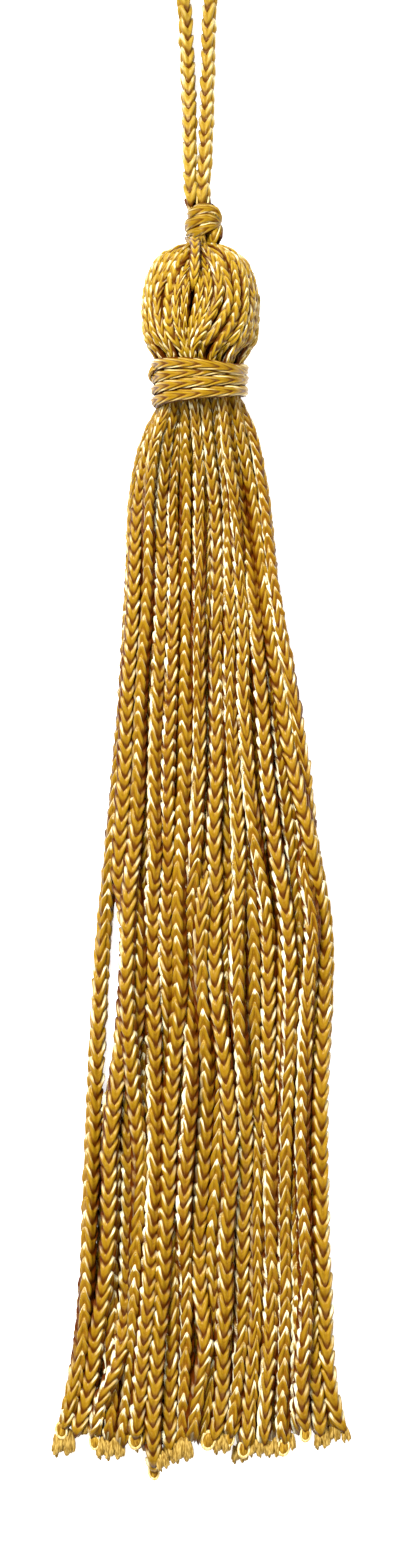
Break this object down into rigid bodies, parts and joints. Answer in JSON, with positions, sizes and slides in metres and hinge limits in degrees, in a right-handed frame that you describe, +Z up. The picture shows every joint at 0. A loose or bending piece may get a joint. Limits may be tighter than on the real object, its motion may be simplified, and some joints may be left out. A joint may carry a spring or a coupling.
{
  "type": "silk tassel",
  "caption": "Hanging tassel lying on its back, with a fanned skirt of knitted chainette strands, ribbed round head, corded neck binding, knot and cord loop.",
  "frame": {"origin": "middle of the underside of the tassel's box, on the surface that it lies on, measured without the hanging loop", "axes": "+Y along the tassel from the strand ends to the knot and loop, +X across it, +Z up from the surface"},
  "size_m": [0.0329, 0.1822, 0.0115],
  "materials": {
    "gold_silk": "knitted chainette cord of shiny gold silk filament",
    "binding_silk": "gold silk chainette wound flat and tight",
    "knot_silk": "gold silk chainette pulled into a tight satin knot",
    "loop_silk": "pale gold silk chainette, stretched narrow"
  },
  "bodies": {
    "root": {"head_and_skirt": "gold_silk", "neck_binding": "binding_silk", "knot": "knot_silk", "hanging_loop": "loop_silk"}
  },
  "joints": []
}
